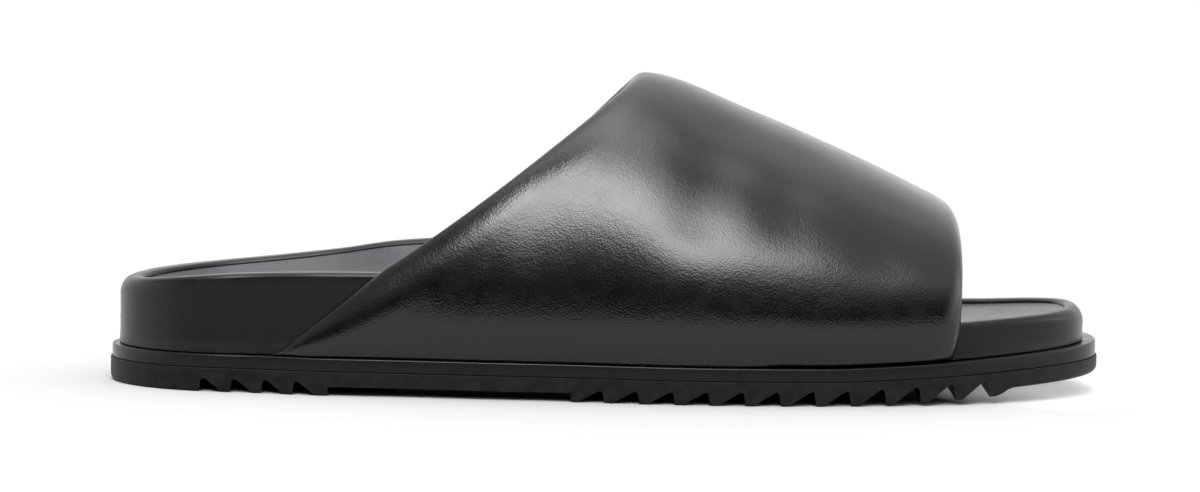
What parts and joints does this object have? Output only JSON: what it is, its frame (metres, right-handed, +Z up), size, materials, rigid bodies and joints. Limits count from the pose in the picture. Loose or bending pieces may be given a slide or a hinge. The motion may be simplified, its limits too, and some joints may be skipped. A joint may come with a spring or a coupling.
{
  "type": "slide sandal",
  "caption": "Slide sandal for the right foot: a broad padded band over a contoured footbed with a raised rim, on a thin midsole and a saw-toothed rubber outsole.",
  "frame": {"origin": "middle of the sandal's box, on the plane that the sole stands on", "axes": "+X from the heel to the toe, +Y towards the inner side of the foot, +Z up"},
  "size_m": [0.2886, 0.1116, 0.092],
  "materials": {
    "outsole": "matte black moulded rubber",
    "midsole": "smooth black band with a polished edge",
    "footbed": "black leather wrap over a light moulded core",
    "insole": "thin black leather cover, semi-matte",
    "upper": "soft black leather over padding, fine grain, satin sheen"
  },
  "bodies": {
    "root": {"outsole": "outsole", "midsole": "midsole", "footbed": "footbed", "insole": "insole", "upper": "upper"}
  },
  "joints": []
}
